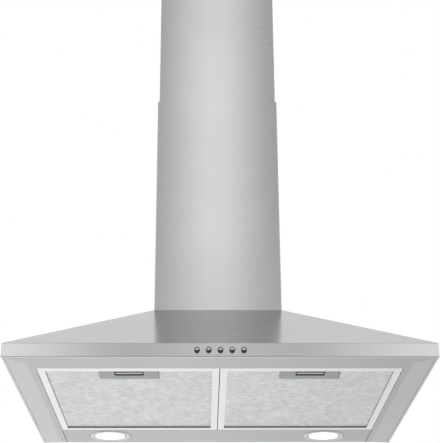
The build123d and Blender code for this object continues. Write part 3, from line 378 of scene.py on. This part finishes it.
def finish_piece(name, bm, finish, body, slot, *nodes, smooth=35.0, edge=0.0):
    """Turn a built form into a piece that rides on a body and may stand for CAD nodes."""
    bmesh.ops.recalc_face_normals(bm, faces=bm.faces[:])
    mesh = bpy.data.meshes.new(name)
    bm.to_mesh(mesh)
    bm.free()
    for face in mesh.polygons:
        face.use_smooth = True
    mesh.set_sharp_from_angle(angle=math.radians(smooth))
    mesh.materials.append(finishes[finish].material)
    obj = bpy.data.objects.new(name, mesh)
    bpy.context.scene.collection.objects.link(obj)
    if edge:
        rounding = obj.modifiers.new("edge", "BEVEL")
        rounding.width = edge
        rounding.segments = 2
        rounding.limit_method = "ANGLE"
    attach(obj, body)
    if nodes:
        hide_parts(*nodes)
    return obj


# ---------------------------------------------------------------- folds and seams of the canopy
FOLD = 1.25 * MM  # rounding of the sheet that the sharp hem covers
RETURN = 5.0 * MM
RAMP_END = 32.0 * MM
FOLD_SHEET = 0.05 * MM
SEAM_WIDTH = 1.1 * MM
SEAM_END = 1.0 * MM
SEAM_DROP = 0.05 * MM
SEAM_RISE = 0.3 * MM


def three_sided(rows, right, front, rear):
    """A strip along the left, front and right of the canopy, from rows of inset and height."""
    bm = bmesh.new()
    lines = []
    for inset, height in rows:
        side, face = right - inset, front + inset
        path = [(-side, rear), (-side, face), (side, face), (side, rear)]
        lines.append([bm.verts.new((x, y, height)) for x, y in path])
    for near, far in zip(lines, lines[1:]):
        for i in range(len(near) - 1):
            bm.faces.new((near[i], near[i + 1], far[i + 1], far[i]))
    return bm


def canopy_folds():
    """The lip's sharp edge, the hem under it, and the strip from there to the underside."""
    low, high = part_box("canopy_shell")
    frame_low, frame_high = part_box("underside_frame")
    right, front, rear = high[0], low[1], frame_high[1]
    # the folded edge is sharper than the sheet under it, and in darker steel: painted shade of the fold
    fold = three_sided([(0, FOLD), (0, FOLD_SHEET)], right, front, rear)
    finish_piece("lip_fold_painted_shade", fold, "fold", "hood", "stainless")
    # the hem is in brighter steel, a painted highlight along the lip's edge
    hem = three_sided([(0, FOLD_SHEET), (FOLD_SHEET, 0), (FOLD, 0)], right, front, rear)
    finish_piece("lip_hem_painted_highlight", hem, "hem", "hood", "stainless")
    # the strip folded in under the lip runs smoothly into the underside, in the underside's darker steel,
    # as painted shade
    ramp = three_sided([(RETURN - FOLD, 0), (RETURN, 0), (RAMP_END, frame_low[2])], right, front, rear)
    finish_piece("lip_ramp", ramp, "underside", "hood", "stainless", smooth=60.0)


def panel_seam(side):
    """The dark joint between the lamp panel and the frame beside it."""
    low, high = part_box("lamp_panel")
    x = low[0] if side == "left" else high[0]
    strip = rectangle(x - SEAM_WIDTH / 2, x + SEAM_WIDTH / 2, low[1] + SEAM_END, high[1] - SEAM_END)
    seam = sheet_metal([strip], low[2] - SEAM_DROP, low[2] + SEAM_RISE)
    finish_piece(f"panel_seam_{side}", seam, "shaded_metal", "hood", "stainless")


canopy_folds()
for side in SIDES:
    panel_seam(side)


# ---------------------------------------------------------------- lamp trims
# radius and height in mm
TRIM_PROFILE = [(25.0, 0.8), (25.0, 0.45), (25.5, 0.15), (26.0, 0.15), (26.2, 0.5), (27.0, 0.5),
                (27.2, 0.15), (28.2, 0.0), (33.8, 0.0), (34.5, 0.12), (34.7, 0.5), (35.4, 0.5),
                (35.6, 0.15), (36.0, 0.3), (36.0, 0.8)]
TRIM_GROOVES = ((26.15, 27.05), (34.65, 35.45))
GROOVE_LOW = 0.42
GROOVE_HIGH = 0.6
TRIM_SEGMENTS = 96


def lamp_trim(side):
    """The rounded ring round a lamp, with a dark line in each of its two grooves."""
    low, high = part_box(f"lamp_bezel_{side}")
    x, y = middle(low, high, 0), middle(low, high, 1)

    def place(across, back, height):
        return (x + across, y + back, low[2] + height)

    trim = turned(in_metres(TRIM_PROFILE), place, True, TRIM_SEGMENTS)
    finish_piece(f"lamp_trim_{side}", trim, "lamp_trim", "hood", "lamp_trim", f"lamp_bezel_{side}")
    for number, (inner, outer) in enumerate(TRIM_GROOVES, 1):
        band = [(inner, GROOVE_LOW), (outer, GROOVE_LOW), (outer, GROOVE_HIGH), (inner, GROOVE_HIGH)]
        groove = turned(in_metres(band), place, True, TRIM_SEGMENTS)
        finish_piece(f"lamp_groove_{side}_{number}", groove, "shaded_metal", "hood", "lamp_trim")


for side in SIDES:
    lamp_trim(side)


# ---------------------------------------------------------------- push buttons
DOME = 4.5  # radius of the cap's round face, in mm as the two profiles are
CAP_BACK = 1.4
SKIRT_BACK = 7.3
CAP_RADII = (0.0, 0.8, 1.5, 2.1, 2.6, 2.9)
CAP_PROFILE = [(r, DOME - math.sqrt(DOME**2 - r**2)) for r in CAP_RADII]
CAP_PROFILE += [(CAP_RADII[-1], CAP_BACK), (0.0, CAP_BACK)]
SKIRT_PROFILE = [(0.0, CAP_BACK), (3.0, 1.15), (3.55, 1.5), (3.7, 1.9), (3.7, SKIRT_BACK),
                 (0.0, SKIRT_BACK)]
BUTTON_SEGMENTS = 48
STEM = 4.0 * MM


def push_button(number):
    """A domed cap, and the skirt and stem behind it. The skirt is the button's side; its black is painted
    shade under the cap.
    """
    low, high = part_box(f"button_{number}")
    x, z = middle(low, high, 0), middle(low, high, 2)

    def place(across, up, back):
        return (x + across, low[1] + back, z + up)

    body = f"button_{number}"
    cap = turned(in_metres(CAP_PROFILE), place, False, BUTTON_SEGMENTS)
    finish_piece(f"button_cap_{number}", cap, "button_chrome", body, "button_chrome", f"button_{number}")
    # the skirt is black as painted shade of the button's underside
    skirt = turned(in_metres(SKIRT_PROFILE), place, False, BUTTON_SEGMENTS)
    stem = bmesh.ops.create_cube(skirt, size=1.0)["verts"]
    reach = high[1] - low[1] - SKIRT_BACK * MM
    bmesh.ops.scale(skirt, vec=(STEM, reach, STEM), verts=stem)
    bmesh.ops.translate(skirt, vec=(x, high[1] - reach / 2, z), verts=stem)
    finish_piece(f"button_skirt_{number}", skirt, "black_plastic", body, "button_chrome")


for number in range(1, BUTTONS + 1):
    push_button(number)


# ---------------------------------------------------------------- grease filters
TONGUE = 6.0 * MM
SIDE_BAND = 10.5 * MM
FRONT_BAND = 14.0 * MM
REAR_BAND = 12.0 * MM
SKIN = 0.8 * MM
HEM = 0.6 * MM
MESH_GRIP = 6.0 * MM
MESH_UP = 2.1 * MM
MESH_THICK = 0.4 * MM
PLEAT = 15.0 * MM
PLEAT_SHEET = 0.3 * MM
POCKET_MARGIN = 3.0 * MM


def pleated_core(low, high, bottom, notch_left, notch_right, notch_rear):
    """A zigzag sheet over the mesh, behind the latch's notch and beside it."""
    folds = int((high[0] - low[0]) / PLEAT) * 2
    start = middle(low, high, 0) - folds * PLEAT / 4
    core = bmesh.new()
    for span in ((notch_rear, high[1]), (low[1], notch_rear)):
        rows = []
        for i in range(folds + 1):
            x = start + i * PLEAT / 2
            z = bottom if i % 2 == 0 else high[2]
            rows.append([core.verts.new((x, y, z)) for y in span])
        for near, far in zip(rows, rows[1:]):
            beside = near[0].co.x >= notch_right or far[0].co.x <= notch_left
            if span[1] > notch_rear or beside:
                core.faces.new((near[0], far[0], far[1], near[1]))
    loose = [v for v in core.verts if not v.link_faces]
    bmesh.ops.delete(core, geom=loose, context="VERTS")
    bmesh.ops.solidify(core, geom=core.faces[:], thickness=PLEAT_SHEET)
    return core


def filter_face(side):
    """The filter's mesh, set back behind a turned-in hem, and its pleated core."""
    low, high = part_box(f"filter_frame_{side}")
    plate_low, plate_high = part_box(f"latch_plate_{side}")
    left, right = low[0] + SIDE_BAND, high[0] - SIDE_BAND
    front, rear = low[1] + FRONT_BAND, high[1] - TONGUE - REAR_BAND
    body = f"filter_{side}"
    # the hem goes round the mesh but stays open across the latch
    outline = [
        (plate_high[0], front - HEM), (right + HEM, front - HEM), (right + HEM, rear + HEM),
        (left - HEM, rear + HEM), (left - HEM, front - HEM), (plate_low[0], front - HEM),
        (plate_low[0], front), (left, front), (left, rear), (right, rear), (right, front),
        (plate_high[0], front),
    ]
    mesh_low = low[2] + MESH_UP
    hem = sheet_metal([outline], low[2] + SKIN, mesh_low)
    finish_piece(f"filter_hem_{side}", hem, "shaded_hem", body, "filter_aluminium")
    # the mesh is notched round the latch
    notch_left = plate_low[0] + POCKET_MARGIN
    notch_right = plate_high[0] - POCKET_MARGIN
    notch_rear = plate_high[1] - POCKET_MARGIN
    mesh_front = front - MESH_GRIP
    outline = [
        (right + MESH_GRIP, rear + MESH_GRIP), (left - MESH_GRIP, rear + MESH_GRIP),
        (left - MESH_GRIP, mesh_front), (notch_left, mesh_front), (notch_left, notch_rear),
        (notch_right, notch_rear), (notch_right, mesh_front), (right + MESH_GRIP, mesh_front),
    ]
    screen = sheet_metal([outline], mesh_low, mesh_low + MESH_THICK)
    finish_piece(f"filter_mesh_{side}", screen, "mesh", body, "mesh", f"filter_screen_{side}")
    core_low, core_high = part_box(f"filter_core_{side}")
    core = pleated_core(core_low, core_high, mesh_low + 2 * MESH_THICK, notch_left, notch_right, notch_rear)
    finish_piece(f"filter_pleats_{side}", core, "mesh", body, "mesh", f"filter_core_{side}")


for side in SIDES:
    filter_face(side)


# ---------------------------------------------------------------- filter latches
SLOT_WIDTH = 42.0 * MM
SLOT_DEPTH = 20.0 * MM
SLOT_CORNER = 3.0 * MM
SLOT_OFFSET = 1.8 * MM
GRIP_WIDTH = 39.5 * MM
GRIP_DEPTH = 7.5 * MM
GRIP_CORNER = 2.5 * MM
GRIP_SUNK = 0.45 * MM
GRIP_EDGE = 0.35 * MM
PLATE_CHAMFER = 3.0 * MM
PLATE_EDGE = 0.12 * MM
SLIDER_GAP = 0.3 * MM
BOLT_WIDTH = 16.0 * MM
SLIDER_FRONT = 2.5 * MM  # slider's front edge before the slot
CREASE_FROM_END = 2.6 * MM
CREASE_WIDTH = 0.5 * MM
CREASE_DROP = 0.04 * MM
CREASE_RISE = 0.1 * MM
LEAF_STRIP = 0.5 * MM
LEAF_FLAT = 0.3  # share of the leaf's half length that lies flat against the slider
LEAF_STEPS = 24


def leaf_spring(side):
    """The bowed leaf behind the slider, built in its bow; the real leaf flattens as the slider is pulled
    back.
    """
    low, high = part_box(f"latch_spring_{side}")
    x, half = middle(low, high, 0), (high[0] - low[0]) / 2
    depth = high[1] - low[1]
    bow = []
    for step in range(LEAF_STEPS + 1):
        share = 2 * step / LEAF_STEPS - 1
        fall = max(0.0, (abs(share) - LEAF_FLAT) / (1 - LEAF_FLAT))
        raised = (1 + math.cos(math.pi * fall)) / 2
        bow.append((x + share * half, high[1] - LEAF_STRIP - raised * (depth - LEAF_STRIP)))
    outline = bow + [(u, v + LEAF_STRIP) for u, v in reversed(bow)]
    leaf = finish_piece(f"latch_leaf_{side}", sheet_metal([outline], low[2], high[2]), "spring_steel",
                        f"filter_{side}", "spring_steel", f"latch_spring_{side}")
    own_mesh(leaf)


def latch(side):
    """The slotted plate with its crease, and the slider under it with its bolt and grip."""
    low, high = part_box(f"latch_plate_{side}")
    x = middle(low, high, 0)
    slot_y = low[1] + SLOT_OFFSET + SLOT_DEPTH / 2
    cut_left, cut_right, cut_rear = low[0] + PLATE_CHAMFER, high[0] - PLATE_CHAMFER, high[1] - PLATE_CHAMFER
    outline = [(low[0], low[1]), (high[0], low[1]), (high[0], cut_rear), (cut_right, high[1]),
               (cut_left, high[1]), (low[0], cut_rear)]
    slot = rounded_rectangle(SLOT_WIDTH, SLOT_DEPTH, SLOT_CORNER, (x, slot_y))
    plate = sheet_metal([outline, slot], low[2], low[2] + SKIN)
    finish_piece(f"latch_cover_{side}", plate, "latch_steel", f"filter_{side}", "latch_steel",
                 f"latch_plate_{side}", edge=PLATE_EDGE)
    crease_x = high[0] - CREASE_FROM_END
    crease_line = rectangle(crease_x, crease_x + CREASE_WIDTH, low[1] + PLATE_CHAMFER / 3, cut_rear)
    crease = sheet_metal([crease_line], low[2] - CREASE_DROP, low[2] + CREASE_RISE)
    finish_piece(f"latch_crease_{side}", crease, "shaded_metal", f"filter_{side}", "latch_steel")

    slider_low, slider_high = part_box(f"latch_slider_{side}")
    shelf = low[2] + SKIN + SLIDER_GAP
    front = low[1] + SLOT_OFFSET - SLIDER_FRONT
    bolt_left, bolt_right = x - BOLT_WIDTH / 2, x + BOLT_WIDTH / 2
    tee = [
        (slider_high[0], slider_high[1]), (slider_low[0], slider_high[1]), (slider_low[0], front),
        (bolt_left, front), (bolt_left, slider_low[1]), (bolt_right, slider_low[1]), (bolt_right, front),
        (slider_high[0], front),
    ]
    # the slider and bolt are near black, as painted shade in the slot round the grip
    finish_piece(f"latch_bolt_{side}", sheet_metal([tee], shelf, slider_high[2]), "slot_painted_shade",
                 f"latch_{side}", "latch_pad", f"latch_slider_{side}")
    grip = rounded_rectangle(GRIP_WIDTH, GRIP_DEPTH, GRIP_CORNER, (x, slot_y))
    finish_piece(f"latch_grip_{side}", sheet_metal([grip], low[2] + GRIP_SUNK, shelf), "latch_pad",
                 f"latch_{side}", "latch_pad", edge=GRIP_EDGE)


for side in SIDES:
    latch(side)
    leaf_spring(side)


# ---------------------------------------------------------------- stage
STAGE_PAINT = (0.8, 0.8, 0.8)
STAGE_REACH = 10.0
FLOOR_LEVEL = -3.3
BACKDROP_Y = 4.2
BACKDROP_SEAM = -0.26  # height where the lower backdrop ends and the evenly white one begins
# The camera sees the whole stage evenly, at 1. Reflections see the floor and lower backdrop at these
# strengths instead, which shades the steel as in the photograph.
REFLECTED_LEFT = 1.03
REFLECTED_RIGHT = 0.78
STAGE_FADE = (-0.15, 1.22)  # x of the ends of the change from left to right
REFLECTED_FRONT = 0.06  # share of that strength on the floor far in front of the hood
FLOOR_FADE = (-3.2, -1.06)  # y of the ends of the change from that share to all of it


def stage_material(name, left, right):
    """White to the camera, and plain paint for light and shadow. Reflections see it at strengths that
    run from left to right, and that fall nearly to nothing far in front of the hood."""
    m = Nodes(name)
    grain = m.noise(m.place(), 6.0)
    m.join(m.colours(grain, shade(STAGE_PAINT, 0.98), STAGE_PAINT), m.shader.inputs["Base Color"])
    m.set(Roughness=0.8)
    paths = m.add("LightPath")
    seen = m.combine("MAXIMUM", paths.outputs["Is Camera Ray"], paths.outputs["Is Glossy Ray"])
    through = m.combine("MAXIMUM", seen, paths.outputs["Is Transmission Ray"])
    white = m.add("Emission")
    place = m.add("SeparateXYZ")
    m.join(m.place(), place.inputs[0])
    across = m.span(place.outputs["X"], left, right, *STAGE_FADE)
    back = m.span(place.outputs["Y"], REFLECTED_FRONT, 1.0, *FLOOR_FADE)
    reflected = m.combine("MULTIPLY", across, back)
    strength = m.span(paths.outputs["Is Glossy Ray"], 1.0, 0.0, from_low=0.0, from_high=1.0)
    m.join(reflected, strength.node.inputs["To Max"])
    m.join(strength, white.inputs["Strength"])
    mix = m.add("MixShader")
    m.join(through, mix.inputs[0])
    m.join(m.shader.outputs[0], mix.inputs[1])
    m.join(white.outputs[0], mix.inputs[2])
    m.join(mix.outputs[0], m.tree.nodes["Material Output"].inputs["Surface"])
    return m.material


def sheet(name, near, far, material):
    """A flat part of the stage, between two edges that are each given by depth and height."""
    corners = [(-STAGE_REACH, *near), (STAGE_REACH, *near), (STAGE_REACH, *far), (-STAGE_REACH, *far)]
    mesh = bpy.data.meshes.new(name)
    mesh.from_pydata(corners, [], [(0, 1, 2, 3)])
    mesh.materials.append(material)
    obj = bpy.data.objects.new(name, mesh)
    bpy.context.scene.collection.objects.link(obj)


lower_paint = stage_material("studio_lower", REFLECTED_LEFT, REFLECTED_RIGHT)
upper_paint = stage_material("studio_upper", 1.0, 1.0)
sheet("studio_floor", (-STAGE_REACH, FLOOR_LEVEL), (STAGE_REACH, FLOOR_LEVEL), lower_paint)
sheet("studio_backdrop_lower", (BACKDROP_Y, FLOOR_LEVEL), (BACKDROP_Y, BACKDROP_SEAM), lower_paint)
sheet("studio_backdrop_upper", (BACKDROP_Y, BACKDROP_SEAM), (BACKDROP_Y, STAGE_REACH), upper_paint)


# ---------------------------------------------------------------- light
WORLD_COLOUR = (0.49, 0.49, 0.49, 1)
PANEL_Y = -3.0
PANEL_STEP = 0.03  # each panel stands a little behind the one before, so that their light adds up
SOFT_PANELS = (
    # left, right, bottom, top, radiance
    (-2.6, -0.46, -0.5, 3.0, 0.38),
    (0.46, 2.6, -0.5, 3.0, 0.34),
    (-2.6, -0.64, -0.5, 3.0, 0.46),
    (0.66, 2.6, -0.5, 3.0, 0.42),
    (-0.60, 0.60, -0.5, 1.2, 0.25),
    (-0.22, 0.26, 1.2, 3.6, 0.24),
    (-0.16, 0.21, 1.2, 3.6, 0.25),
    (-0.10, 0.15, 1.2, 3.6, 0.24),
    (-0.04, 0.10, 1.2, 3.6, 0.20),
)


def soft_panel(name, left, right, bottom, top, radiance, y):
    """An upright lamp in front of the hood that faces the wall."""
    width, height = right - left, top - bottom
    data = bpy.data.lights.new(name, "AREA")
    data.shape = "RECTANGLE"
    data.size, data.size_y = width, height
    data.energy = radiance * math.pi * width * height
    obj = bpy.data.objects.new(name, data)
    bpy.context.scene.collection.objects.link(obj)
    obj.location = ((left + right) / 2, y, (bottom + top) / 2)
    obj.rotation_euler = Vector((0, 1, 0)).to_track_quat("-Z", "Y").to_euler()
    obj.visible_camera = False


world = bpy.data.worlds.new("studio")
world.use_nodes = True
bpy.context.scene.world = world
world.node_tree.nodes["Background"].inputs["Color"].default_value = WORLD_COLOUR
world.node_tree.nodes["Background"].inputs["Strength"].default_value = 1.0
for number, panel in enumerate(SOFT_PANELS, 1):
    soft_panel(f"soft_panel_{number}", *panel, PANEL_Y - PANEL_STEP * number)


# ---------------------------------------------------------------- camera
CAMERA_PLACE = (-0.0237, -1.8730, -0.5019)
CAMERA_ANGLES = (23.436, 0.839, -0.249)  # pitch, yaw and roll in degrees
SENSOR_HEIGHT = 36.0
LENS = 100.5


def camera():
    """The photograph's camera, which looks up at the hood from below and in front."""
    pitch, yaw, roll = (math.radians(a) for a in CAMERA_ANGLES)
    forward = Vector((math.sin(yaw) * math.cos(pitch), math.cos(yaw) * math.cos(pitch), math.sin(pitch)))
    right = Vector((math.cos(yaw), -math.sin(yaw), 0))
    up = right.cross(forward)
    turned_right = math.cos(roll) * right + math.sin(roll) * up
    turned_up = -math.sin(roll) * right + math.cos(roll) * up
    data = bpy.data.cameras.new("photo_camera")
    data.sensor_fit = "VERTICAL"
    data.sensor_height = SENSOR_HEIGHT
    data.lens = LENS
    obj = bpy.data.objects.new("photo_camera", data)
    bpy.context.scene.collection.objects.link(obj)
    rotation = Matrix((turned_right, turned_up, -forward)).transposed()
    obj.matrix_world = Matrix.Translation(CAMERA_PLACE) @ rotation.to_4x4()
    bpy.context.scene.camera = obj


camera()
bpy.context.scene.view_settings.view_transform = "Standard"
